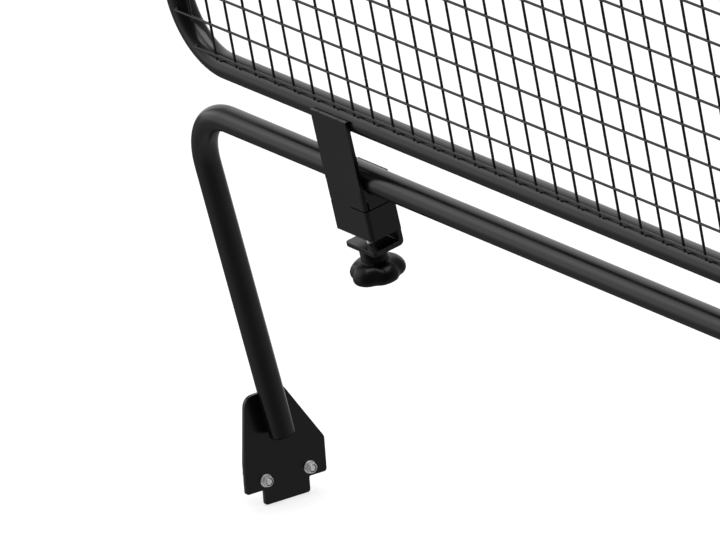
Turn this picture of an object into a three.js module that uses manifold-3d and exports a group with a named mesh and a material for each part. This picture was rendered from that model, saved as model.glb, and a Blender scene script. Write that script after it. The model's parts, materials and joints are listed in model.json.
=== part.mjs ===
// Headache rack: a bent-tube hoop that bolts to both side walls of a truck bed or trailer, and a framed
// wire-mesh panel that stands on the hoop's crossbar, held by two clamps with star knobs.
//
// Millimetres, +X across the vehicle, +Y away from the viewer, +Z up. The model is laid out from the middle
// of the crossbar's axis, then set down so that the origin is under the middle of its box.

import * as THREE from 'three';
import { mergeVertices } from 'three/addons/utils/BufferGeometryUtils.js';
import Module from 'manifold-3d';

const wasm = await Module();
wasm.setup();

// ---------------------------------------------------------------- driving dimensions

const GAP = 0.3; // air left between neighbouring pieces
const TUBE_R = 16; // 32 mm tube, used for the hoop and the panel frame
const TUBE_WALL = 2;
const BEND_R = 80; // bend radius of every tube corner, on the tube's centreline
const TUBE_SIDES = 20;
const BEND_STEPS = 6;

// How far each part leans back towards -Y as it rises, measured from the upright foot plates.
const LEG_LEAN = THREE.MathUtils.degToRad(11.6);
const CLAMP_LEAN = THREE.MathUtils.degToRad(9.3);
const PANEL_LEAN = THREE.MathUtils.degToRad(6.9);

const HOOP_HALF_WIDTH = 769; // middle to a leg's centreline
const LEG_LENGTH = 447; // crossbar centreline to the tube's cut end

const PITCH = 40; // mesh opening, both ways
const COLUMNS = 36;
const ROWS = 13;
const WIRE = 3; // side of a square wire that weighs what the 3.2 mm round wire weighs
const ROW_Y = -16; // the horizontal wires lie in front of the panel frame
const COLUMN_Y = ROW_Y + 2.8; // the upright wires are welded to their backs, 0.2 mm deep
const MESH_EDGE = 20.8; // frame centreline to the first horizontal wire
const WIRE_INSET = 8; // the horizontal wires stop this far inside the frame's centreline
const WIRE_TAIL = 8; // the upright wires run this far past the last horizontal wire
const PANEL_HALF_WIDTH = ((COLUMNS - 1) * PITCH) / 2 + PITCH;
const PANEL_HEIGHT = (ROWS - 1) * PITCH + 2 * MESH_EDGE;

const SHEET = 4.8; // thickness of the clamp and foot plates
const CORNER_STEPS = 6; // flats on each rounded corner of a plate

const FOOT_BOTTOM = -529.7; // underside of the foot plate, from the crossbar's axis
const FOOT_TAB_Y = 72.1; // front corner of the foot plate's lower tab, from the crossbar's axis
// The foot plate's corners as [y, z, corner radius], from the tab's front corner: a flat-sided plate with a
// narrower tab below, a sloped rear shoulder and a large rounded front corner.
const FOOT_CORNERS = [
  [-2.7, 0, 4], [62.4, 0, 4], [62.4, 19.6, 2], [87.8, 19.6, 4], [87.8, 64, 8], [35.4, 142.3, 4],
  [-20.8, 142.3, 16], [-28.5, 60, 8], [-28.5, 19.6, 4], [-2.7, 19.6, 2],
];
const PLUG_LID = 2;
const PLUG_SLEEVE = 12;

const BOLT_Y = [0.2, 63.2]; // bolt holes, from the tab's front corner
const BOLT_Z = 31.4;
const BOLT_R = 4; // M8
const HOLE_R = 4.6;
const WASHER_R = 8;
const WASHER_T = 1.6;
const NUT_FLATS = 13;
const NUT_H = 6;
const BOLT_HEAD_H = 5.3;
const BOLT_LENGTH = 43;
const BED_WALL = 30; // room left between the foot plate and the bolt heads
const THREAD_GAP = 0.4; // between a bolt and its plain nut

const CLAMP_X = 461.1; // middle of the rack to a clamp's outer edge
const STRIP_W = 70.8; // the strip's lower end is folded into a channel as wide as the strip
const STRIP_TOP = 84.4;
const STRIP_BACK = -TUBE_R - 2.3;
const FOLD_R = 1.2; // inside radius of the channel's folds
const OUTER_FOLD_R = 1; // outside radius of the fold on the strip's outer edge
const CHANNEL_TOP = -32.5;
const CHANNEL_BOTTOM = -70.2;
const CHANNEL_BACK = 19.2;
const FLANGE_BACK = 14;
const FLANGE_TOP = -4;
const SLIT = 1.5; // relief slit between the saddle flange and the channel wall
const SLIT_START = [6, 42]; // the front wall stays whole between these, from the strip's outer edge
const RELIEF = [2.3, 10]; // depth and height of the notch at the end of each fold, above the slit
const NOTCH_R = TUBE_R + 1; // the flanges clear the crossbar by 1 mm
const PANEL_TUBE_V = -1.98; // the panel's bottom tube, in the clamp's own axes
const PANEL_TUBE_U = 78.8;

const LIP_X = [5.8, 36];
const LIP_BACK = 2.8; // the lip ends just past the top of the crossbar
const PAD_HALF_HEIGHT = 10;

const JAW_X = [5.8, 65];
const JAW_T = 6;
const JAW_FRONT = -20.5;
const JAW_BACK = TUBE_R + 0.4 + JAW_T;
const JAW_TOP = 4;
const JAW_BEND = [2, 7]; // inside and outside radius
const JAW_CORNER = 5; // radius of the front corners of the jaw's foot
const FOOT_TOP = -87;
const SADDLE_INSET = 3;
const SADDLE_FRONT = -12;
const SADDLE_HEIGHTS = [-27, -11];
const STUD_X = 35.4;
const STUD_V = -3.5;
const STUD_R = 5; // M10
const STUD_HOLE_R = 5.7;
const STUD_TOP = -34;
const STUD_IN_KNOB = 17;
const WEB_TOP = -45;
const NUT10_FLATS = 17;
const NUT10_H = 8;
const KNOB_TOP = -93.3;
const HUB_R = 16;
const HUB_H = 16;
const SHOULDER_R = 26; // round shoulder between the hub and the lobes
const SHOULDER_H = 5.5;
const LOBES = 5;
const LOBE_R = 33.5;
const LOBE_DEPTH = 3.6;
const LOBE_TURN = THREE.MathUtils.degToRad(-7); // where the first lobe points, from +X
const LOBED_H = 17;

// ---------------------------------------------------------------- materials

const paint = new THREE.MeshStandardMaterial({ color: 0x262624, roughness: 0.45, metalness: 0.1 });
const wirePaint = new THREE.MeshStandardMaterial({ color: 0x1c1c1b, roughness: 0.5, metalness: 0.1 });
const zinc = new THREE.MeshStandardMaterial({ color: 0xc4c6c8, roughness: 0.3, metalness: 1 });
const plastic = new THREE.MeshStandardMaterial({ color: 0x151515, roughness: 0.35, metalness: 0 });
const rubber = new THREE.MeshStandardMaterial({ color: 0x101010, roughness: 0.9, metalness: 0 });

// ---------------------------------------------------------------- geometry helpers

// The closed solid that a geometry bounds.
function solidOf(geometry) {
  const bare = geometry.clone();
  bare.deleteAttribute('normal');
  bare.deleteAttribute('uv');
  const merged = mergeVertices(bare, 1e-4);
  const vertProperties = new Float32Array(merged.attributes.position.array);
  const triVerts = new Uint32Array(merged.index.array);
  return new wasm.Manifold(new wasm.Mesh({ numProp: 3, vertProperties, triVerts }));
}

function geometryOf(solid) {
  const { vertProperties, triVerts } = solid.getMesh();
  const geometry = new THREE.BufferGeometry();
  geometry.setAttribute('position', new THREE.BufferAttribute(vertProperties, 3));
  geometry.setIndex(new THREE.BufferAttribute(triVerts, 1));
  return geometry;
}

function join(geometries) {
  return geometryOf(geometries.map(solidOf).reduce((whole, part) => whole.add(part)));
}

function cut(geometry, ...tools) {
  return geometryOf(tools.map(solidOf).reduce((left, tool) => left.subtract(tool), solidOf(geometry)));
}

// The same shape on the other side of X = 0.
function mirrored(geometry) {
  const copy = geometry.index ? geometry.toNonIndexed() : geometry.clone();
  copy.scale(-1, 1, 1);
  const position = copy.attributes.position;
  const swap = new THREE.Vector3();
  const other = new THREE.Vector3();
  for (let i = 0; i < position.count; i += 3) {
    swap.fromBufferAttribute(position, i);
    other.fromBufferAttribute(position, i + 1);
    position.setXYZ(i, other.x, other.y, other.z);
    position.setXYZ(i + 1, swap.x, swap.y, swap.z);
  }
  return copy;
}

function box(x0, x1, y0, y1, z0, z1) {
  const geometry = new THREE.BoxGeometry(x1 - x0, y1 - y0, z1 - z0);
  return geometry.translate((x0 + x1) / 2, (y0 + y1) / 2, (z0 + z1) / 2);
}

function cylinder(radius, length, sides = 24) {
  return new THREE.CylinderGeometry(radius, radius, length, sides);
}

// A closed outline whose corners are [a, b, corner radius].
function outline(corners) {
  const shape = new THREE.Shape();
  corners.forEach(([a, b, radius = 0], i) => {
    const here = new THREE.Vector2(a, b);
    const before = new THREE.Vector2(...corners.at(i - 1).slice(0, 2)).sub(here).normalize();
    const after = new THREE.Vector2(...corners[(i + 1) % corners.length].slice(0, 2)).sub(here).normalize();
    const reach = radius / Math.tan(Math.acos(before.dot(after)) / 2);
    const start = here.clone().addScaledVector(before, reach);
    const end = here.clone().addScaledVector(after, reach);
    if (i === 0) shape.moveTo(start.x, start.y);
    else shape.lineTo(start.x, start.y);
    if (radius > 0) shape.quadraticCurveTo(here.x, here.y, end.x, end.y);
  });
  shape.closePath();
  return shape;
}

function roundHole(x, y, radius) {
  return new THREE.Path().absarc(x, y, radius, 0, 2 * Math.PI, true);
}

function extrude(shape, depth, curveSegments = CORNER_STEPS) {
  return new THREE.ExtrudeGeometry(shape, { depth, bevelEnabled: false, curveSegments });
}

const X = new THREE.Vector3(1, 0, 0);
const Y = new THREE.Vector3(0, 1, 0);
const Z = new THREE.Vector3(0, 0, 1);

// A plate whose outline is drawn in (Y, Z), from x to x + thickness.
function plateAcrossX(shape, x, thickness, segments) {
  const turn = new THREE.Matrix4().makeBasis(Y, Z, X);
  return extrude(shape, thickness, segments).applyMatrix4(turn).translate(x, 0, 0);
}

// A plate whose outline is drawn in (X, Z), from y to y - thickness.
function plateAcrossY(shape, y, thickness, segments) {
  const turn = new THREE.Matrix4().makeBasis(X, Z, Y.clone().negate());
  return extrude(shape, thickness, segments).applyMatrix4(turn).translate(0, y, 0);
}

// Points and directions along a polyline in (X, Z) whose inner corners are bent to BEND_R.
class BentPath extends THREE.Curve {
  constructor(corners) {
    super();
    const points = corners.map(([x, z]) => new THREE.Vector3(x, 0, z));
    this.stations = [];
    points.forEach((here, i) => {
      const into = i > 0 ? here.clone().sub(points[i - 1]).normalize() : null;
      const out = i < points.length - 1 ? points[i + 1].clone().sub(here).normalize() : null;
      if (!into || !out) {
        this.stations.push({ point: here, tangent: into ?? out });
        return;
      }
      const centre = here.clone().addScaledVector(into, -BEND_R).addScaledVector(out, BEND_R);
      for (let step = 0; step <= BEND_STEPS; step += 1) {
        const angle = (step / BEND_STEPS) * (Math.PI / 2);
        const point = centre.clone();
        point.addScaledVector(out, -BEND_R * Math.cos(angle));
        point.addScaledVector(into, BEND_R * Math.sin(angle));
        const tangent = into.clone().multiplyScalar(Math.cos(angle)).addScaledVector(out, Math.sin(angle));
        this.stations.push({ point, tangent });
      }
    });
  }

  station(u) {
    return this.stations[Math.round(u * (this.stations.length - 1))];
  }

  getPointAt(u, target = new THREE.Vector3()) {
    return target.copy(this.station(u).point);
  }

  getTangentAt(u, target = new THREE.Vector3()) {
    return target.copy(this.station(u).tangent);
  }
}

function bentTube(corners) {
  const path = new BentPath(corners);
  const ring = new THREE.Shape().absarc(0, 0, TUBE_R, 0, 2 * Math.PI);
  ring.holes.push(roundHole(0, 0, TUBE_R - TUBE_WALL));
  const steps = path.stations.length - 1;
  return new THREE.ExtrudeGeometry(ring, { extrudePath: path, steps, curveSegments: TUBE_SIDES / 2 });
}

function hexagon(acrossFlats) {
  const shape = new THREE.Shape();
  const corner = acrossFlats / Math.sqrt(3);
  for (let i = 0; i < 6; i += 1) {
    const angle = (i * Math.PI) / 3;
    const point = [corner * Math.cos(angle), corner * Math.sin(angle)];
    if (i === 0) shape.moveTo(...point);
    else shape.lineTo(...point);
  }
  shape.closePath();
  return shape;
}

// ---------------------------------------------------------------- scene graph

const rack = new THREE.Group();
const feet = new THREE.Group();
const hoop = new THREE.Group();
const clamps = new THREE.Group();
const panel = new THREE.Group();
hoop.rotation.x = LEG_LEAN;
clamps.rotation.x = CLAMP_LEAN;
panel.rotation.x = PANEL_LEAN;
panel.position.set(0, PANEL_TUBE_V, PANEL_TUBE_U).applyAxisAngle(X, CLAMP_LEAN);
feet.position.set(0, FOOT_TAB_Y, FOOT_BOTTOM);
rack.add(feet, hoop, clamps, panel);

function add(group, name, geometry, material) {
  const mesh = new THREE.Mesh(geometry, material);
  mesh.name = name;
  group.add(mesh);
}

// Adds a shape drawn for the left side, and its mirror image on the right.
function addPair(group, name, geometry, material) {
  add(group, `${name}_left`, geometry, material);
  add(group, `${name}_right`, mirrored(geometry), material);
}

// ---------------------------------------------------------------- hoop and feet

function addHoop() {
  const w = HOOP_HALF_WIDTH;
  add(hoop, 'hoop_tube', bentTube([[-w, -LEG_LENGTH], [-w, 0], [w, 0], [w, -LEG_LENGTH]]), paint);

  // Plastic plug: a lid under the cut end and a plain sleeve inside the tube.
  const lid = cylinder(TUBE_R - GAP, PLUG_LID, TUBE_SIDES).rotateX(Math.PI / 2);
  lid.translate(0, 0, -PLUG_LID / 2);
  const sleeve = cylinder(TUBE_R - TUBE_WALL - 2 * GAP, 2 * PLUG_SLEEVE, TUBE_SIDES).rotateX(Math.PI / 2);
  const plug = cut(join([lid, sleeve]), box(-TUBE_R, TUBE_R, -TUBE_R, TUBE_R, -2 * PLUG_SLEEVE, -PLUG_LID));
  addPair(hoop, 'leg_plug', plug.translate(-w, 0, -LEG_LENGTH - GAP), plastic);
}

function footOutline() {
  const shape = outline(FOOT_CORNERS);
  BOLT_Y.forEach((y) => shape.holes.push(roundHole(y, BOLT_Z, HOLE_R)));
  return shape;
}

function addFeet() {
  const inner = -HOOP_HALF_WIDTH - TUBE_R - GAP; // the leg is welded to this face
  const outer = inner - SHEET;
  addPair(feet, 'foot_plate', plateAcrossX(footOutline(), outer, SHEET), paint);

  const alongX = (geometry, x, y) => geometry.translate(x, y, BOLT_Z);
  ['front', 'rear'].forEach((place, i) => {
    const y = BOLT_Y[i];
    const under = outer - BED_WALL; // underside of the bolt head
    const headShape = hexagon(NUT_FLATS);
    const head = plateAcrossX(headShape, under - BOLT_HEAD_H, BOLT_HEAD_H);
    const shank = cylinder(BOLT_R, BOLT_LENGTH + BOLT_HEAD_H, 16).rotateZ(Math.PI / 2);
    shank.translate(under + (BOLT_LENGTH - BOLT_HEAD_H) / 2, 0, 0);
    addPair(feet, `bolt_${place}`, alongX(join([head, shank]), 0, y), zinc);

    const washer = new THREE.Shape().absarc(0, 0, WASHER_R, 0, 2 * Math.PI);
    washer.holes.push(roundHole(0, 0, HOLE_R));
    addPair(feet, `washer_${place}`, alongX(plateAcrossX(washer, inner + GAP, WASHER_T, 8), 0, y), zinc);

    const nut = hexagon(NUT_FLATS);
    nut.holes.push(roundHole(0, 0, BOLT_R + THREAD_GAP));
    const nutX = inner + 2 * GAP + WASHER_T;
    addPair(feet, `nut_${place}`, alongX(plateAcrossX(nut, nutX, NUT_H, 8), 0, y), zinc);
  });
}

// ---------------------------------------------------------------- panel

// One tube bent to a rounded rectangle; its ends meet in a butt weld at the middle of the top.
function addPanelFrame() {
  const w = PANEL_HALF_WIDTH;
  const h = PANEL_HEIGHT;
  const end = GAP / 2;
  add(panel, 'panel_frame', bentTube([[end, h], [w, h], [w, 0], [-w, 0], [-w, h], [-end, h]]), paint);
}

// Where a horizontal wire at height z stops: WIRE_INSET inside the frame's centreline.
function wireReach(z) {
  const intoCorner = Math.max(BEND_R - z, z - (PANEL_HEIGHT - BEND_R), 0);
  const r = BEND_R - WIRE_INSET;
  return PANEL_HALF_WIDTH - BEND_R + Math.sqrt(r * r - intoCorner * intoCorner);
}

function addMesh() {
  const half = WIRE / 2;
  const wires = [];
  for (let row = 0; row < ROWS; row += 1) {
    const z = MESH_EDGE + row * PITCH;
    const reach = wireReach(z);
    wires.push(box(-reach, reach, ROW_Y - half, ROW_Y + half, z - half, z + half));
  }
  for (let column = 0; column < COLUMNS; column += 1) {
    const x = (column - (COLUMNS - 1) / 2) * PITCH;
    const outermost = column === 0 || column === COLUMNS - 1;
    const low = MESH_EDGE + (outermost ? PITCH : 0) - WIRE_TAIL;
    wires.push(box(x - half, x + half, COLUMN_Y - half, COLUMN_Y + half, low, PANEL_HEIGHT - low));
  }
  add(panel, 'mesh_screen', join(wires), wirePaint);
}

// ---------------------------------------------------------------- clamps

// Section of the folded channel in (X, V): the front wall and the two side walls.
function channelSection(back) {
  const front = STRIP_BACK - SHEET;
  const outside = SHEET + FOLD_R;
  return outline([
    [0, front, OUTER_FOLD_R], [STRIP_W, front, outside], [STRIP_W, back], [STRIP_W - SHEET, back],
    [STRIP_W - SHEET, STRIP_BACK, FOLD_R], [SHEET, STRIP_BACK, FOLD_R], [SHEET, back], [0, back],
  ]);
}

// The strip that stands on the panel's bottom tube and is folded into a channel at its lower end. Above the
// channel the side flanges are notched for the crossbar, which slides in from behind.
function bracketGeometry() {
  const overlap = 1; // the strip runs this far into the top of the flanges
  const stripFoot = FLANGE_TOP - overlap;
  const strip = plateAcrossY(outline([
    [0, stripFoot], [0, STRIP_TOP], [STRIP_W, STRIP_TOP], [STRIP_W, FLANGE_TOP],
    [STRIP_W - SHEET - FOLD_R, stripFoot],
  ]), STRIP_BACK, SHEET);
  const [start, end] = SLIT_START;
  const slitTop = CHANNEL_TOP + SLIT;
  const bridge = box(start, end, STRIP_BACK - SHEET, STRIP_BACK, CHANNEL_TOP - overlap, slitTop + overlap);
  const flanges = extrude(channelSection(FLANGE_BACK), FLANGE_TOP - slitTop).translate(0, 0, slitTop);
  const channelHeight = CHANNEL_TOP - CHANNEL_BOTTOM;
  const channel = extrude(channelSection(CHANNEL_BACK), channelHeight).translate(0, 0, CHANNEL_BOTTOM);
  const notch = cylinder(NOTCH_R, 2 * STRIP_W, 32).rotateZ(Math.PI / 2);
  const mouth = box(-overlap, STRIP_W, 0, CHANNEL_BACK, -NOTCH_R, NOTCH_R);
  const [reliefDepth, reliefHeight] = RELIEF;
  const reliefTop = slitTop + reliefHeight;
  const relief = box(end, STRIP_W, STRIP_BACK, STRIP_BACK + reliefDepth, slitTop - overlap, reliefTop);
  return join([cut(flanges, notch, mouth, relief), strip, bridge, channel]);
}

// L-shaped plate: a leg behind the crossbar and a foot under the channel, with a hole for the stud.
function jawGeometry() {
  const [inside, outside] = JAW_BEND;
  const section = outline([
    [JAW_FRONT, FOOT_TOP - JAW_T], [JAW_BACK, FOOT_TOP - JAW_T, outside], [JAW_BACK, JAW_TOP],
    [JAW_BACK - JAW_T, JAW_TOP], [JAW_BACK - JAW_T, FOOT_TOP, inside], [JAW_FRONT, FOOT_TOP],
  ]);
  const bent = plateAcrossX(section, JAW_X[0], JAW_X[1] - JAW_X[0]);
  const hole = cylinder(STUD_HOLE_R, 4 * JAW_T, 20).rotateX(Math.PI / 2).translate(STUD_X, STUD_V, FOOT_TOP);
  const corners = [[JAW_X[0], 1], [JAW_X[1], -1]].map(([x, inward]) => {
    const sliver = new THREE.Shape();
    sliver.moveTo(x - inward, JAW_FRONT - 1);
    sliver.lineTo(x + inward * JAW_CORNER, JAW_FRONT - 1);
    sliver.lineTo(x + inward * JAW_CORNER, JAW_FRONT);
    sliver.quadraticCurveTo(x, JAW_FRONT, x, JAW_FRONT + JAW_CORNER);
    sliver.lineTo(x - inward, JAW_FRONT + JAW_CORNER);
    sliver.closePath();
    return extrude(sliver, 3 * JAW_T).translate(0, 0, FOOT_TOP - 2 * JAW_T);
  });
  return cut(bent, hole, ...corners);
}

// Nylon block on the jaw that pushes up under the crossbar.
function saddleGeometry() {
  const [left, right] = [JAW_X[0] + SADDLE_INSET, JAW_X[1] - SADDLE_INSET];
  const block = box(left, right, SADDLE_FRONT, JAW_BACK - JAW_T - GAP, ...SADDLE_HEIGHTS);
  const seat = cylinder(TUBE_R + GAP, 2 * STRIP_W, 48).rotateZ(Math.PI / 2);
  return cut(block, seat);
}

// Extruded star whose outline swings between radius and radius - depth, hanging down from a height.
function star(radius, depth, top, height) {
  const shape = new THREE.Shape();
  const points = LOBES * 8;
  for (let i = 0; i < points; i += 1) {
    const angle = (i / points) * 2 * Math.PI;
    const reach = radius - (depth * (1 - Math.cos(LOBES * angle))) / 2;
    const point = [reach * Math.cos(angle + LOBE_TURN), reach * Math.sin(angle + LOBE_TURN)];
    if (i === 0) shape.moveTo(...point);
    else shape.lineTo(...point);
  }
  shape.closePath();
  return extrude(shape, height).translate(0, 0, top - height);
}

function knobGeometry() {
  const overlap = 1;
  const hub = cylinder(HUB_R, HUB_H + overlap, 32).rotateX(Math.PI / 2).translate(0, 0, -(HUB_H + overlap) / 2);
  const shoulder = star(SHOULDER_R, LOBE_DEPTH / 2, -HUB_H, SHOULDER_H + overlap);
  const lobes = star(LOBE_R, LOBE_DEPTH, -HUB_H - SHOULDER_H, LOBED_H);
  const socket = cylinder(STUD_R + GAP, 2 * (STUD_IN_KNOB + GAP)).rotateX(Math.PI / 2);
  return cut(join([hub, shoulder, lobes]), socket).translate(STUD_X, STUD_V, KNOB_TOP);
}

function addClamps() {
  const place = (geometry) => geometry.translate(-CLAMP_X, 0, 0);
  const inside = [SHEET + GAP, STRIP_W - SHEET - GAP];
  const behindStrip = STRIP_BACK + GAP;
  addPair(clamps, 'clamp_bracket', place(bracketGeometry()), paint);

  // The lip that hangs on top of the crossbar, welded to the back of the strip.
  const lip = box(...LIP_X, behindStrip, LIP_BACK, TUBE_R + GAP, TUBE_R + GAP + SHEET);
  addPair(clamps, 'clamp_lip', place(lip), paint);

  const pad = box(...JAW_X, behindStrip, -TUBE_R - GAP, -PAD_HALF_HEIGHT, PAD_HALF_HEIGHT);
  addPair(clamps, 'grip_pad', place(pad), rubber);

  const hole = cylinder(STUD_HOLE_R, 4 * SHEET).rotateX(Math.PI / 2).translate(STUD_X, STUD_V, WEB_TOP);
  const web = box(...inside, behindStrip, JAW_BACK - JAW_T - GAP, WEB_TOP - SHEET, WEB_TOP);
  addPair(clamps, 'clamp_web', place(cut(web, hole)), paint);

  const nutShape = hexagon(NUT10_FLATS);
  nutShape.holes.push(roundHole(0, 0, STUD_HOLE_R));
  const nut = extrude(nutShape, NUT10_H).translate(STUD_X, STUD_V, WEB_TOP - SHEET - GAP - NUT10_H);
  addPair(clamps, 'weld_nut', place(nut), zinc);

  addPair(clamps, 'clamp_jaw', place(jawGeometry()), paint);
  addPair(clamps, 'jaw_saddle', place(saddleGeometry()), plastic);
  addPair(clamps, 'knob', place(knobGeometry()), plastic);

  const studBottom = KNOB_TOP - STUD_IN_KNOB;
  const stud = cylinder(STUD_R, STUD_TOP - studBottom, 24).rotateX(Math.PI / 2);
  stud.translate(STUD_X, STUD_V, (STUD_TOP + studBottom) / 2);
  addPair(clamps, 'knob_stud', place(stud), zinc);
}

addHoop();
addFeet();
addPanelFrame();
addMesh();
addClamps();

const bounds = new THREE.Box3().setFromObject(rack, true);
rack.position.set(0, -(bounds.min.y + bounds.max.y) / 2, -bounds.min.z);

const object = new THREE.Group();
object.add(rack);

export default object;
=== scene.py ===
"""Looks for the headache rack: a bent-tube hoop, a framed wire-mesh panel and two screw clamps.

Shapes are drawn in millimetres in the axes of the part that they belong to, and each finished mesh is turned
and scaled into the row's frame, in metres.
"""

import json
import math

import bmesh
import bpy
from mathutils import Matrix, Vector


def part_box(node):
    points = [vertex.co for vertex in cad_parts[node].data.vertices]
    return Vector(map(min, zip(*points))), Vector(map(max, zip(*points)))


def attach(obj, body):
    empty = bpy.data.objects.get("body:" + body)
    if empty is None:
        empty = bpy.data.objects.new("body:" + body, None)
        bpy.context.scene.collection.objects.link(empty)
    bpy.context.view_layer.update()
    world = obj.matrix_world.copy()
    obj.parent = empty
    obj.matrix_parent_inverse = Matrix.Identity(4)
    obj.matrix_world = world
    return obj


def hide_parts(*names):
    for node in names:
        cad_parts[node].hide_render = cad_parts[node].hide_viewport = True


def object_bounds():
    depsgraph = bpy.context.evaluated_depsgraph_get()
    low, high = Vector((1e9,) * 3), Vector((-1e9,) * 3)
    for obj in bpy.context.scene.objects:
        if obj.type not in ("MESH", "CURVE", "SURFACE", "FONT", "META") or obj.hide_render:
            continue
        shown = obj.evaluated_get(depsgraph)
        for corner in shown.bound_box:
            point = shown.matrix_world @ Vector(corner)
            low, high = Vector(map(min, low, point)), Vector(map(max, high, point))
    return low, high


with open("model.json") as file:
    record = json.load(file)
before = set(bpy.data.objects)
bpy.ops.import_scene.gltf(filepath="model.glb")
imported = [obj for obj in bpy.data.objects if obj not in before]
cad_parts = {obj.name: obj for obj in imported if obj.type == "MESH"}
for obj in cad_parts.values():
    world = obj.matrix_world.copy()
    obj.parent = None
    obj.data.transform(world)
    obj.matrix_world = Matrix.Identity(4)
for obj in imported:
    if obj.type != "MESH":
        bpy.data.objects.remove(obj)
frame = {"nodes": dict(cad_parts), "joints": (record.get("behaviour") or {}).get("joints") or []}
cad_low, cad_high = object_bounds()

# ---------------------------------------------------------------- dimensions, in millimetres

MM = 0.001

TUBE_R = 16.0
TUBE_WALL = 2.0
BEND_R = 80.0
TUBE_SIDES = 64
BEND_STEPS = 28
LEG_LENGTH = 447.0

LEG_LEAN = math.radians(11.6)
CLAMP_LEAN = math.radians(9.3)
PANEL_LEAN = math.radians(6.9)
PANEL_TUBE = Vector((0, -1.98, 78.8))  # the panel's bottom tube, in the clamp's axes
PANEL_HEIGHT = 521.6

PITCH = 40.0
ROWS = 13
COLUMNS = 36
WIRE_R = 1.6
ROW_Y = -16.0
COLUMN_Y = -13.2
MESH_EDGE = 20.8
WIRE_INSET = 8.0
WIRE_TAIL = 8.0

STRIP_BACK = -18.3
LIP_TOP = 21.1

NUT_FLATS = 13.0
BOLT_R = 4.0
BOLT_PITCH = 1.25
BOLT_HEAD = 5.3
BOLT_THREAD = 20.0
NUT_COLLAR = 2.4  # height of the round collar on a lock nut

STUD_R = 5.0
STUD_PITCH = 1.5
STUD_BOTTOM = -110.2
STUD_TOP = -34.0
KNOB_TOP = -93.3
HUB_R = 16.0
LOBES = 5
LOBE_TURN = math.radians(-7)
LOBE_DEPTH = 3.6
LOBE_WIDTH = 2.2  # the higher, the narrower the grooves between the lobes

LEG_BEAD_R = 2.3
LEG_BEAD_Y = 7.8  # from the leg's centreline
TUBE_BEAD_R = 2.4
TUBE_BEAD_DROP = 10.2  # below the panel tube's centreline
LIP_BEAD_R = 1.9
LIP_BEAD_X = (9, 33)  # from the strip's outer edge

# ---------------------------------------------------------------- the frame's own axes

joints = {joint["name"]: joint for joint in frame["joints"]}
crossbar = Vector(joints["panel_tilt"]["pos_m"])


def axes(origin, lean):
    """Millimetres in a part's axes, turned by lean about X, to metres in the row's frame."""
    return Matrix.Translation(origin) @ Matrix.Rotation(lean, 4, "X") @ Matrix.Diagonal((MM, MM, MM, 1))


HOOP = axes(crossbar, LEG_LEAN)
CLAMP = axes(crossbar, CLAMP_LEAN)
PANEL = axes(CLAMP @ PANEL_TUBE, PANEL_LEAN)
MIRROR = Matrix.Diagonal((-1, 1, 1, 1))

HOOP_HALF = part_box("hoop_tube")[1].x / MM - TUBE_R
PANEL_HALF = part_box("panel_frame")[1].x / MM - TUBE_R
PLATE_FACE = -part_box("foot_plate_left")[1].x / MM  # inner face of a foot plate, from the middle
CLAMP_X = -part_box("clamp_bracket_left")[0].x / MM  # outer edge of a clamp, from the middle
STRIP_WIDTH = CLAMP_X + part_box("clamp_bracket_left")[1].x / MM

# ---------------------------------------------------------------- materials


def ramp_between(tree, factor, low, high):
    """A colour that swings between two greys with factor."""
    ramp = tree.nodes.new("ShaderNodeValToRGB")
    ramp.color_ramp.elements[0].color = (*low, 1)
    ramp.color_ramp.elements[1].color = (*high, 1)
    ramp.color_ramp.elements[0].position = 0.3
    ramp.color_ramp.elements[1].position = 0.7
    tree.links.new(factor, ramp.inputs["Fac"])
    return ramp.outputs["Color"]


def noise(tree, coordinates, grain_mm, detail):
    node = tree.nodes.new("ShaderNodeTexNoise")
    node.inputs["Scale"].default_value = 1 / (grain_mm * MM)
    node.inputs["Detail"].default_value = detail
    tree.links.new(coordinates, node.inputs["Vector"])
    return node.outputs["Fac"]


def surface(name, low, high, roughness, grain_mm, bump_mm, metallic=0.0, specular=0.5, coat=0.0):
    """A mottled finish: fine grain in colour and height, broad patches in roughness."""
    made = bpy.data.materials.new(name)
    made.use_nodes = True
    tree = made.node_tree
    shader = tree.nodes["Principled BSDF"]
    shader.inputs["Metallic"].default_value = metallic
    shader.inputs["Specular IOR Level"].default_value = specular
    shader.inputs["Coat Weight"].default_value = coat
    shader.inputs["Coat Roughness"].default_value = 0.25
    coordinates = tree.nodes.new("ShaderNodeTexCoord").outputs["Object"]

    fine = noise(tree, coordinates, grain_mm, 3)
    broad = noise(tree, coordinates, 40, 2)
    blend = tree.nodes.new("ShaderNodeMath")
    blend.operation = "MULTIPLY_ADD"
    blend.inputs[1].default_value = 0.6
    tree.links.new(fine, blend.inputs[0])
    part = tree.nodes.new("ShaderNodeMath")
    part.operation = "MULTIPLY"
    part.inputs[1].default_value = 0.4
    tree.links.new(broad, part.inputs[0])
    tree.links.new(part.outputs[0], blend.inputs[2])
    tree.links.new(ramp_between(tree, blend.outputs[0], low, high), shader.inputs["Base Color"])

    spread = tree.nodes.new("ShaderNodeMapRange")
    spread.inputs["From Min"].default_value = 0.3
    spread.inputs["From Max"].default_value = 0.7
    spread.inputs["To Min"].default_value = roughness[0]
    spread.inputs["To Max"].default_value = roughness[1]
    tree.links.new(broad, spread.inputs["Value"])
    tree.links.new(spread.outputs["Result"], shader.inputs["Roughness"])

    bump = tree.nodes.new("ShaderNodeBump")
    bump.inputs["Strength"].default_value = 0.5
    bump.inputs["Distance"].default_value = bump_mm * MM
    tree.links.new(fine, bump.inputs["Height"])
    tree.links.new(bump.outputs["Normal"], shader.inputs["Normal"])
    return made


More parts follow.
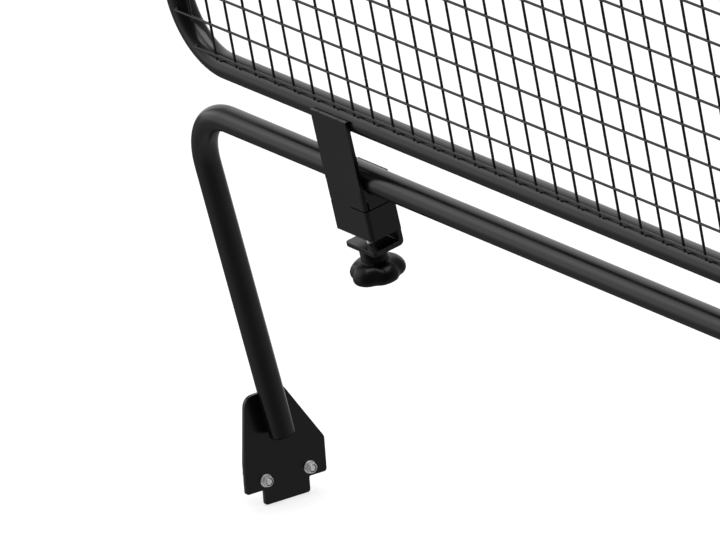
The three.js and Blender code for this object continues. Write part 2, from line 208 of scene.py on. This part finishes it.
powder = surface("powder_coat", (0.0018, 0.0018, 0.0016), (0.0034, 0.0033, 0.0031), (0.2, 0.27), 1.1, 0.02)
wire_powder = surface(
    "mesh_powder_coat", (0.002, 0.002, 0.002), (0.004, 0.004, 0.0038),
    (0.25, 0.34), 0.8, 0.02,
)
zinc = surface("zinc", (0.78, 0.79, 0.78), (0.90, 0.91, 0.89), (0.22, 0.34), 0.7, 0.015, metallic=0.55)
plastic = surface(
    "black_plastic", (0.002, 0.002, 0.002), (0.004, 0.004, 0.004),
    (0.26, 0.34), 0.5, 0.02, specular=0.22,
)
nylon = surface("nylon_insert", (0.012, 0.012, 0.013), (0.02, 0.02, 0.022), (0.4, 0.5), 0.5, 0.02)
rubber = surface("rubber", (0.008, 0.008, 0.008), (0.014, 0.014, 0.014), (0.75, 0.9), 0.6, 0.06)

SLOTS = {
    "powder_coat": [powder],
    "mesh_powder_coat": [wire_powder],
    "zinc_fasteners": [zinc, nylon],
    "black_plastic": [plastic],
    "rubber_pad": [rubber],
}

# ---------------------------------------------------------------- mesh helpers


def loft(bm, rings, closed=False, skin=0):
    """Faces between neighbouring rings of points. A ring of one point is a tip; open ends are capped."""
    made = [[bm.verts.new(point) for point in ring] for ring in rings]
    pairs = list(zip(made, made[1:]))
    if closed:
        pairs.append((made[-1], made[0]))
    faces = []
    for one, two in pairs:
        sides = max(len(one), len(two))
        for i in range(sides):
            j = (i + 1) % sides
            corners = [one[i % len(one)], one[j % len(one)], two[j % len(two)], two[i % len(two)]]
            faces.append(bm.faces.new(list(dict.fromkeys(corners))))
    if not closed:
        faces += [bm.faces.new(ring) for ring in (made[0], made[-1]) if len(ring) > 2]
    for face in faces:
        face.material_index = skin
    return faces


def circle(centre, across, along, radius, sides):
    turn = 2 * math.pi / sides
    return [centre + radius * (math.cos(i * turn) * across + math.sin(i * turn) * along) for i in range(sides)]


def bent_path(corners, closed=False):
    """(point, direction) along a polyline in (X, Z) whose corners are bent to BEND_R."""
    points = [Vector((x, 0, z)) for x, z in corners]
    stations = []
    for i, here in enumerate(points):
        if not closed and i == 0:
            stations.append((here, (points[1] - here).normalized()))
            continue
        if not closed and i == len(points) - 1:
            stations.append((here, (here - points[i - 1]).normalized()))
            continue
        into = (here - points[i - 1]).normalized()
        out = (points[(i + 1) % len(points)] - here).normalized()
        centre = here - into * BEND_R + out * BEND_R
        for step in range(BEND_STEPS + 1):
            angle = step / BEND_STEPS * math.pi / 2
            reach = into * math.sin(angle) - out * math.cos(angle)
            heading = into * math.cos(angle) + out * math.sin(angle)
            stations.append((centre + reach * BEND_R, heading))
    return stations


def tube_ring(point, heading, radius):
    sideways = Vector((0, 1, 0))
    return circle(point, heading.cross(sideways), sideways, radius, TUBE_SIDES)


def turned(bm, profile, sides, shape=None, closed=False, skin=0):
    """A body turned about Z from (radius, z) points; shape changes the radius with the angle."""
    rings = []
    for radius, z in profile:
        if radius == 0:
            rings.append([Vector((0, 0, z))])
            continue
        ring = []
        for i in range(sides):
            angle = i / sides * 2 * math.pi
            reach = shape(angle, radius) if shape else radius
            ring.append(Vector((reach * math.cos(angle), reach * math.sin(angle), z)))
        rings.append(ring)
    return loft(bm, rings, closed, skin)


def thread(bm, radius, pitch, bottom, top, sides=28, steps=6):
    """A rod with a right-handed thread, chamfered at both ends."""
    depth = 0.61 * pitch
    count = round((top - bottom) / pitch * steps)
    rings = [[Vector((0, 0, bottom))]]
    for k in range(count + 1):
        z = bottom + (top - bottom) * k / count
        limit = radius - depth + min(z - bottom, top - z)
        ring = []
        for i in range(sides):
            phase = (z / pitch - i / sides) % 1
            reach = min(radius - depth * abs(2 * phase - 1), max(limit, radius - depth - 0.4))
            angle = i / sides * 2 * math.pi
            ring.append(Vector((reach * math.cos(angle), reach * math.sin(angle), z)))
        rings.append(ring)
    rings.append([Vector((0, 0, top))])
    loft(bm, rings)


def bead(bm, path, radius, ripple=1.9, closed=False):
    """A weld bead along a path: a round cord with a ripple every couple of millimetres."""
    steps = 4
    stations = []
    for start, end in zip(path, path[1:]):
        count = max(1, round((end - start).length / ripple * steps))
        stations += [(start.lerp(end, k / count), (end - start).normalized()) for k in range(count)]
    if not closed:
        stations.append((path[-1], (path[-1] - path[-2]).normalized()))
    rings = []
    for k, (point, heading) in enumerate(stations):
        swell = 1 + 0.13 * abs(math.sin(math.pi * k / steps))
        taper = 1 if closed else min(1, 0.35 + 0.3 * min(k, len(stations) - 1 - k))
        across = heading.orthogonal().normalized()
        if abs(heading.x) < 0.9:
            across = heading.cross(Vector((1, 0, 0))).normalized()
        rings.append(circle(point, across, heading.cross(across), radius * swell * taper, 10))
    loft(bm, rings, closed)


def blob(bm, centre, size):
    """A small rounded lump, such as a spot weld, with its three half sizes."""
    made = bmesh.ops.create_icosphere(bm, subdivisions=1, radius=1)
    bmesh.ops.transform(bm, matrix=Matrix.Translation(centre) @ Matrix.Diagonal((*size, 1)), verts=made["verts"])


def hexagonal(flats):
    """A shape for turned() that keeps the body inside a hexagon with its corners on X."""

    def shape(angle, radius):
        return min(flats / 2 / math.cos((angle % (math.pi / 3)) - math.pi / 6), radius)

    return shape


# ---------------------------------------------------------------- making pieces


def dress(piece, body, slot, replaced):
    for material in SLOTS[slot]:
        piece.data.materials.append(material)
    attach(piece, body)
    if replaced:
        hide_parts(*replaced)
    return piece


def finish_mesh(name, bm, matrix, body, slot, replaced=(), sharp=35):
    """Turns a bmesh drawn in millimetres into a piece, smooth but for edges sharper than an angle."""
    bmesh.ops.transform(bm, matrix=matrix, verts=bm.verts)
    bmesh.ops.recalc_face_normals(bm, faces=bm.faces)
    mesh = bpy.data.meshes.new(name)
    bm.to_mesh(mesh)
    bm.free()
    mesh.shade_smooth()
    mesh.set_sharp_from_angle(angle=math.radians(sharp))
    piece = bpy.data.objects.new(name, mesh)
    bpy.context.scene.collection.objects.link(piece)
    return dress(piece, body, slot, replaced)


def softened(node, body, slot, width_mm, segments=3):
    """A copy of a CAD plate or block with its edges rounded, as a cut and coated or moulded edge is."""
    bm = bmesh.new()
    bm.from_mesh(frame["nodes"][node].data)
    bmesh.ops.remove_doubles(bm, verts=bm.verts, dist=1e-6)
    bmesh.ops.dissolve_limit(bm, angle_limit=math.radians(0.8), verts=bm.verts, edges=bm.edges)
    mesh = bpy.data.meshes.new(f"{node}_finished")
    bm.to_mesh(mesh)
    bm.free()
    mesh.shade_smooth()
    piece = bpy.data.objects.new(f"{node}_finished", mesh)
    bpy.context.scene.collection.objects.link(piece)
    bevel = piece.modifiers.new("rounded_edges", "BEVEL")
    bevel.width = width_mm * MM
    bevel.segments = segments
    bevel.limit_method = "ANGLE"
    bevel.angle_limit = math.radians(32)
    flat = piece.modifiers.new("flat_faces", "WEIGHTED_NORMAL")
    flat.keep_sharp = True
    return dress(piece, body, slot, [node])


# ---------------------------------------------------------------- hoop and feet


def make_hoop():
    """The bent tube with its open, chamfered ends."""
    w = HOOP_HALF
    path = bent_path([(-w, -LEG_LENGTH), (-w, 0), (w, 0), (w, -LEG_LENGTH)])
    bore = TUBE_R - TUBE_WALL
    mouth = [(30, bore), (0.4, bore), (0, bore + 0.4), (0, TUBE_R - 0.5), (0.5, TUBE_R)]
    rings = [tube_ring(path[0][0] + path[0][1] * depth, path[0][1], r) for depth, r in mouth]
    rings += [tube_ring(point, heading, TUBE_R) for point, heading in path[1:-1]]
    rings += [tube_ring(path[-1][0] - path[-1][1] * depth, path[-1][1], r) for depth, r in reversed(mouth)]
    bm = bmesh.new()
    loft(bm, rings)
    finish_mesh("hoop_tube_bent", bm, HOOP, "hoop", "powder_coat", ["hoop_tube"])


def make_leg_plug(side, mirror):
    """Plastic plug: a low dome under the cut end, and a ribbed sleeve in the bore."""
    lid = TUBE_R - 0.3
    sleeve = TUBE_R - TUBE_WALL - 0.6
    profile = [(0, -2), (9, -1.95), (lid - 1.6, -1.7), (lid - 0.5, -1.2), (lid, -0.5), (lid, 0)]
    profile.append((sleeve - 1, 0))
    for rib in range(3):
        z = 1.5 + rib * 3.4
        profile += [(sleeve - 1, z), (sleeve, z + 0.5), (sleeve, z + 1.2), (sleeve - 1, z + 1.7)]
    profile += [(sleeve - 1, 11.5), (sleeve - 2, 12), (0, 12)]
    bm = bmesh.new()
    turned(bm, profile, 48)
    place = mirror @ HOOP @ Matrix.Translation((-HOOP_HALF, 0, -LEG_LENGTH - 0.3))
    finish_mesh(f"leg_plug_{side}_moulded", bm, place, "hoop", "black_plastic", [f"leg_plug_{side}"])


def make_leg_welds(side, mirror):
    """Two beads that run down the grooves between the leg and the foot plate."""
    plate_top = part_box(f"foot_plate_{side}")[1].z
    start = (plate_top - crossbar.z) / MM / math.cos(LEG_LEAN) - 4
    x = -PLATE_FACE + 1.1
    bm = bmesh.new()
    for y in (-LEG_BEAD_Y, LEG_BEAD_Y):
        bead(bm, [Vector((x, y, start + y * math.tan(LEG_LEAN))), Vector((x, y, -LEG_LENGTH + 1))], LEG_BEAD_R)
    finish_mesh(f"leg_weld_{side}", bm, mirror @ HOOP, "hoop", "powder_coat", sharp=60)


def along_x(node):
    """Axes with Z along X through the middle of a fastener, from its outer end, and its length."""
    low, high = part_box(node)
    left = low.x + high.x < 0
    heading = Vector((1 if left else -1, 0, 0))
    across = Vector((0, 1, 0))
    turn = Matrix((across, heading.cross(across), heading)).transposed().to_4x4()
    origin = Vector((low.x if left else high.x, (low.y + high.y) / 2, (low.z + high.z) / 2))
    return Matrix.Translation(origin) @ turn @ Matrix.Diagonal((MM, MM, MM, 1)), (high.x - low.x) / MM


def make_bolt(node):
    """Hexagon head with a chamfered top and a washer face, plain shank, threaded end."""
    place, length = along_x(node)
    corner = NUT_FLATS / math.sqrt(3)
    bm = bmesh.new()
    rim = [(corner - 1.4 + 1.4 * k / 5, 1.4 * k / 5 * math.tan(math.radians(30))) for k in range(6)]
    turned(bm, [(0, 0), *rim, (corner, BOLT_HEAD - 0.5), (NUT_FLATS / 2 - 0.4, BOLT_HEAD - 0.4),
                (NUT_FLATS / 2 - 0.5, BOLT_HEAD), (0, BOLT_HEAD)], 72, hexagonal(NUT_FLATS))
    plain = length - BOLT_THREAD
    turned(bm, [(0, BOLT_HEAD - 1), (BOLT_R - 0.1, BOLT_HEAD - 1), (BOLT_R - 0.1, plain), (0, plain)], 40)
    thread(bm, BOLT_R, BOLT_PITCH, plain - 0.5, length)
    finish_mesh(f"{node}_threaded", bm, place, "hoop", "zinc_fasteners", [node])


def make_washer(node):
    place, thick = along_x(node)
    hole, rim, edge = 4.6, 8.0, 0.35
    profile = [(hole, 0), (rim - edge, 0), (rim, edge), (rim, thick - edge), (rim - edge, thick), (hole, thick)]
    bm = bmesh.new()
    turned(bm, profile, 56, closed=True)
    finish_mesh(f"{node}_turned", bm, place, "hoop", "zinc_fasteners", [node])


def make_lock_nut(node):
    """Hexagon nut whose round collar holds a nylon ring about the end of the bolt."""
    place, height = along_x(node)
    hexagon = height - NUT_COLLAR
    corner = NUT_FLATS / math.sqrt(3)
    hole = 4.35
    rim = [(corner - 1.1 + 1.1 * k / 4, 1.1 * k / 4 * math.tan(math.radians(30))) for k in range(5)]
    rim += [(radius, hexagon - z) for radius, z in reversed(rim)]
    collar = [(6.25, hexagon - 0.1), (6.15, height - 1.1), (5.9, height - 0.4), (5.4, height), (5.0, height - 0.2)]
    bm = bmesh.new()
    body = [(hole, 0), *rim, *collar, (5.0, height - 0.8), (hole, height - 0.8)]
    turned(bm, body, 72, hexagonal(NUT_FLATS), closed=True)
    ring = [
        (4.1, height - 2.3), (4.98, height - 2.3), (4.98, height - 0.6), (4.5, height - 0.45), (4.1, height - 0.7),
    ]
    turned(bm, ring, 48, closed=True, skin=1)
    finish_mesh(f"{node}_machined", bm, place, "hoop", "zinc_fasteners", [node], sharp=25)


# ---------------------------------------------------------------- panel


def make_panel_frame():
    """The rounded rectangle of tube, with a dressed butt weld at the middle of the top."""
    w, h = PANEL_HALF, PANEL_HEIGHT
    path = bent_path([(w, 0), (w, h), (-w, h), (-w, 0)], closed=True)
    bm = bmesh.new()
    loft(bm, [tube_ring(point, heading, TUBE_R) for point, heading in path], closed=True)
    seam = [(-4, 0), (-3, 0.3), (-1.5, 0.55), (0, 0.65), (1.5, 0.55), (3, 0.3), (4, 0)]
    heading = Vector((1, 0, 0))
    rings = []
    for x, rise in seam:
        ring = tube_ring(Vector((x, 0, h)), heading, TUBE_R - 0.1 + rise)
        wave = [0.35 * math.sin(24 * i / TUBE_SIDES * 2 * math.pi) for i in range(TUBE_SIDES)]
        rings.append([point + heading * shift for point, shift in zip(ring, wave)])
    loft(bm, rings)
    finish_mesh("panel_frame_bent", bm, PANEL, "panel", "powder_coat", ["panel_frame"])


def wire_reach(z):
    """Where a horizontal wire at height z stops: WIRE_INSET inside the frame's centreline."""
    into_corner = max(BEND_R - z, z - (PANEL_HEIGHT - BEND_R), 0)
    radius = BEND_R - WIRE_INSET
    return PANEL_HALF - BEND_R + math.sqrt(radius**2 - into_corner**2)


def wire(bm, start, end):
    """Round wire with sheared, slightly rounded ends."""
    heading = (end - start).normalized()
    across = heading.cross(Vector((0, 1, 0)))
    along = Vector((0, 1, 0))
    stops = [(start, 0, 0.75), (start, 0.4, 1), (end, -0.4, 1), (end, 0, 0.75)]
    loft(bm, [circle(point + heading * shift, across, along, WIRE_R * size, 12) for point, shift, size in stops])


def make_mesh_screen():
    """Thirteen wires across in front of 36 upright ones, with a spot weld at every crossing."""
    bm = bmesh.new()
    heights = [MESH_EDGE + row * PITCH for row in range(ROWS)]
    for z in heights:
        reach = wire_reach(z)
        wire(bm, Vector((-reach, ROW_Y, z)), Vector((reach, ROW_Y, z)))
        for x in (-reach + 3, reach - 3):
            blob(bm, Vector((x + math.copysign(1.5, x), ROW_Y + 2, z)), (3.2, 2.0, 2.6))
    for column in range(COLUMNS):
        x = (column - (COLUMNS - 1) / 2) * PITCH
        outermost = column in (0, COLUMNS - 1)
        low = MESH_EDGE + (PITCH if outermost else 0) - WIRE_TAIL
        wire(bm, Vector((x, COLUMN_Y, low)), Vector((x, COLUMN_Y, PANEL_HEIGHT - low)))
        for z in heights:
            if low < z < PANEL_HEIGHT - low:
                blob(bm, Vector((x, (ROW_Y + COLUMN_Y) / 2, z)), (2.0, 1.1, 2.0))
    finish_mesh("mesh_screen_wires", bm, PANEL, "panel", "mesh_powder_coat", ["mesh_screen"], sharp=40)


# ---------------------------------------------------------------- clamps


def make_clamp_welds(side, mirror):
    """Beads that hold the strip to the panel's bottom tube, and the lip to the strip."""
    left = -CLAMP_X
    bm = bmesh.new()
    y, z = STRIP_BACK + 1.6, PANEL_TUBE.z - TUBE_BEAD_DROP
    bead(bm, [Vector((left + 5, y, z)), Vector((left + STRIP_WIDTH - 5, y, z))], TUBE_BEAD_R)
    y, z = STRIP_BACK + 0.9, LIP_TOP + 0.7
    bead(bm, [Vector((left + x, y, z)) for x in LIP_BEAD_X], LIP_BEAD_R)
    finish_mesh(f"clamp_weld_{side}", bm, mirror @ CLAMP, "panel", "powder_coat", sharp=60)


def stud_axes(side):
    """Axes with Z up along a clamp's screw and the origin at the height of the crossbar."""
    pivot = Vector(joints[f"knob_turn_{side}"]["pos_m"])
    at = CLAMP.inverted() @ pivot
    return CLAMP @ Matrix.Translation((at.x, at.y, 0))


def knob_radius(angle, radius):
    """Five lobes that fade out towards the hub."""
    share = min(1, max(0, (radius - HUB_R - 1) / 15))
    groove = ((1 - math.cos(LOBES * (angle - LOBE_TURN))) / 2) ** LOBE_WIDTH
    return radius - LOBE_DEPTH * share * groove


def make_knob(side):
    """Star knob: a round hub that spreads into five fat lobes, dished underneath."""
    profile = [
        (0, -18), (5.3, -18), (5.3, -0.6), (5.9, 0), (15.2, 0), (16, -0.8), (16, -14), (16.3, -15.2),
        (17.2, -16), (19, -16.3), (22, -16.8), (25, -18.2), (27.6, -20.2), (30, -22.8), (31.9, -25.4),
        (33.2, -28.2), (33.5, -31), (33.3, -33.2), (32.4, -35.4), (30.9, -37.3), (28.9, -38.4), (26.5, -38.5),
        (25, -38), (24.2, -37), (12, -36.4), (11, -37.2), (9.5, -37.6), (0, -37.6),
    ]
    place = stud_axes(side) @ Matrix.Translation((0, 0, KNOB_TOP))
    if side == "right":
        place = place @ MIRROR
    bm = bmesh.new()
    turned(bm, profile, 120, knob_radius)
    finish_mesh(f"knob_{side}_moulded", bm, place, f"knob_{side}", "black_plastic", [f"knob_{side}"], sharp=50)


def make_stud(side):
    bm = bmesh.new()
    thread(bm, STUD_R, STUD_PITCH, STUD_BOTTOM, STUD_TOP)
    finish_mesh(f"knob_stud_{side}_threaded", bm, stud_axes(side), f"knob_{side}", "zinc_fasteners",
                [f"knob_stud_{side}"])


def make_weld_nut(side):
    """Plain hexagon nut under the web, held by three tack welds."""
    flats, height, top = 17.0, 8.0, -50.1
    corner = flats / math.sqrt(3)
    rim = [(corner - 1.2, -height), (corner - 0.6, -height + 0.35), (corner, -height + 0.7), (corner, 0)]
    bm = bmesh.new()
    turned(bm, [(5.7, 0), (5.7, -height + 0.5), (6.2, -height), *rim], 72, hexagonal(flats), closed=True)
    for k in range(3):
        angle = math.radians(30 + 120 * k)
        blob(bm, Vector((9.2 * math.cos(angle), 9.2 * math.sin(angle), -0.6)), (2.2, 2.2, 1.6))
    place = stud_axes(side) @ Matrix.Translation((0, 0, top))
    finish_mesh(f"weld_nut_{side}_welded", bm, place, "panel", "zinc_fasteners", [f"weld_nut_{side}"])


make_hoop()
make_panel_frame()
make_mesh_screen()
for side, mirror in (("left", Matrix.Identity(4)), ("right", MIRROR)):
    make_leg_plug(side, mirror)
    make_leg_welds(side, mirror)
    softened(f"foot_plate_{side}", "hoop", "powder_coat", 0.7)
    for place in ("front", "rear"):
        make_bolt(f"bolt_{place}_{side}")
        make_washer(f"washer_{place}_{side}")
        make_lock_nut(f"nut_{place}_{side}")
    make_clamp_welds(side, mirror)
    softened(f"clamp_bracket_{side}", "panel", "powder_coat", 0.5)
    softened(f"clamp_lip_{side}", "panel", "powder_coat", 0.7)
    softened(f"clamp_web_{side}", "panel", "powder_coat", 0.5)
    softened(f"grip_pad_{side}", "panel", "rubber_pad", 0.6)
    softened(f"clamp_jaw_{side}", f"jaw_{side}", "powder_coat", 0.6)
    softened(f"jaw_saddle_{side}", f"jaw_{side}", "black_plastic", 0.7)
    make_knob(side)
    make_stud(side)
    make_weld_nut(side)

# ---------------------------------------------------------------- studio


def make_overhead_light():
    """A large square light above the rack, which doesn't show in the picture."""
    side, distance, radiance = 7, 6, 3.2
    rack_middle = (cad_low + cad_high) / 2
    light = bpy.data.lights.new("overhead", "AREA")
    light.shape = "RECTANGLE"
    light.size, light.size_y = side, side
    light.energy = radiance * math.pi * side * side
    holder = bpy.data.objects.new("overhead", light)
    holder.location = rack_middle + Vector((0.02, -0.02, 1)).normalized() * distance
    holder.rotation_mode = "QUATERNION"
    holder.rotation_quaternion = (rack_middle - holder.location).to_track_quat("-Z", "Y")
    holder.visible_camera = False
    bpy.context.scene.collection.objects.link(holder)


def make_floor():
    """A plain pale floor of lit acrylic: shadows on it stay faint, and the coat's gloss doesn't mirror it."""
    bm = bmesh.new()
    bmesh.ops.create_grid(bm, x_segments=8, y_segments=8, size=40)
    mesh = bpy.data.meshes.new("floor")
    bm.to_mesh(mesh)
    bm.free()
    floor = bpy.data.objects.new("floor", mesh)
    floor.location.z = cad_low.z - 0.0005
    paint = bpy.data.materials.new("floor_paint")
    paint.use_nodes = True
    shader = paint.node_tree.nodes["Principled BSDF"]
    grey, glow = 0.45, 0.62
    shader.inputs["Base Color"].default_value = (grey, grey, grey, 1)
    shader.inputs["Emission Color"].default_value = (1, 1, 1, 1)
    shader.inputs["Emission Strength"].default_value = glow
    shader.inputs["Roughness"].default_value = 1.0
    shader.inputs["Specular IOR Level"].default_value = 0.0
    mesh.materials.append(paint)
    floor.visible_glossy = False
    bpy.context.scene.collection.objects.link(floor)


# How bright the left end of the studio is, by angle over the rack from the back (0) by the top (90) to the front
# (180) and the ground (270): two long lights above and a paler wall in front.
LEFT_WALL = [
    (-45, 0.12), (-5, 1.0), (20, 0.75), (45, 1.08), (70, 0.75), (92, 0.26), (103, 0.30), (120, 1.1), (142, 1.62),
    (155, 1.4), (170, 0.9), (196, 0.88), (210, 0.45), (226, 0.21), (275, 0.10),
]
BACK_WALL = 0.30
BEHIND_CAMERA = 0.07
TO_CAMERA = Vector((0.785, -0.515, 0.342))  # a fixed direction: the studio is dark on that side


def map_range(tree, value, source, target):
    node = tree.nodes.new("ShaderNodeMapRange")
    for name, number in zip(("From Min", "From Max", "To Min", "To Max"), (*source, *target)):
        node.inputs[name].default_value = number
    tree.links.new(value, node.inputs["Value"])
    return node.outputs["Result"]


def make_world():
    """The studio's walls for the gloss, seen pale where the picture looks past the floor."""
    world = bpy.data.worlds.new("studio")
    world.use_nodes = True
    tree = world.node_tree
    direction = tree.nodes.new("ShaderNodeTexCoord").outputs["Generated"]
    split = tree.nodes.new("ShaderNodeSeparateXYZ")
    tree.links.new(direction, split.inputs["Vector"])

    angle = tree.nodes.new("ShaderNodeMath")
    angle.operation = "ARCTAN2"
    tree.links.new(split.outputs["Z"], angle.inputs[0])
    tree.links.new(split.outputs["Y"], angle.inputs[1])
    lights = tree.nodes.new("ShaderNodeValToRGB")
    tree.links.new(map_range(tree, angle.outputs[0], (-math.pi, math.pi), (0, 1)), lights.inputs["Fac"])
    brightest = max(level for _, level in LEFT_WALL)
    stops = sorted(((degrees + 180) % 360 / 360, level / brightest) for degrees, level in LEFT_WALL)
    elements = lights.color_ramp.elements
    elements[0].position, elements[1].position = stops[0][0], stops[-1][0]
    for position, _ in stops[1:-1]:
        elements.new(position)
    for element, (_, level) in zip(elements, stops):
        element.color = (level, level, level, 1)

    left = tree.nodes.new("ShaderNodeMath")
    left.operation = "MULTIPLY"
    tree.links.new(lights.outputs["Color"], left.inputs[0])
    left.inputs[1].default_value = brightest
    facing_camera = tree.nodes.new("ShaderNodeVectorMath")
    facing_camera.operation = "DOT_PRODUCT"
    tree.links.new(direction, facing_camera.inputs[0])
    facing_camera.inputs[1].default_value = TO_CAMERA
    rest = map_range(tree, facing_camera.outputs["Value"], (0.1, 0.8), (BACK_WALL, BEHIND_CAMERA))
    share = map_range(tree, split.outputs["X"], (-0.2, -0.6), (0, 1))
    level = tree.nodes.new("ShaderNodeMix")
    tree.links.new(share, level.inputs["Factor"])
    tree.links.new(rest, level.inputs["A"])
    tree.links.new(left.outputs[0], level.inputs["B"])

    walls = tree.nodes["Background"]
    walls.inputs["Color"].default_value = (1, 1, 1, 1)
    tree.links.new(level.outputs["Result"], walls.inputs["Strength"])
    pale = tree.nodes.new("ShaderNodeBackground")
    pale.inputs["Color"].default_value = (1, 1, 1, 1)
    pale.inputs["Strength"].default_value = 1.0
    ray = tree.nodes.new("ShaderNodeLightPath")
    either = tree.nodes.new("ShaderNodeMixShader")
    tree.links.new(ray.outputs["Is Camera Ray"], either.inputs["Fac"])
    tree.links.new(walls.outputs["Background"], either.inputs[1])
    tree.links.new(pale.outputs["Background"], either.inputs[2])
    tree.links.new(either.outputs["Shader"], tree.nodes["World Output"].inputs["Surface"])
    bpy.context.scene.world = world


def make_camera():
    """A long lens from the right and above: the picture is cropped to the rack's lower left."""
    azimuth, elevation, roll = math.radians(56.72), math.radians(20.03), math.radians(-4.33)
    distance = 13.456
    aim = Vector((-0.1350, -0.2325, 0.5298))
    back = Vector((
        math.sin(azimuth) * math.cos(elevation), -math.cos(azimuth) * math.cos(elevation), math.sin(elevation),
    ))
    data = bpy.data.cameras.new("camera")
    data.lens = 599.8
    data.sensor_width = 36
    data.clip_start, data.clip_end = 0.5, 200
    camera = bpy.data.objects.new("camera", data)
    camera.location = aim + back * distance
    camera.rotation_mode = "QUATERNION"
    turn = Matrix.Rotation(roll, 4, "Z").to_quaternion()
    camera.rotation_quaternion = (-back).to_track_quat("-Z", "Y") @ turn
    bpy.context.scene.collection.objects.link(camera)
    bpy.context.scene.camera = camera


make_overhead_light()
make_floor()
make_world()
make_camera()
bpy.context.scene.view_settings.view_transform = "Standard"
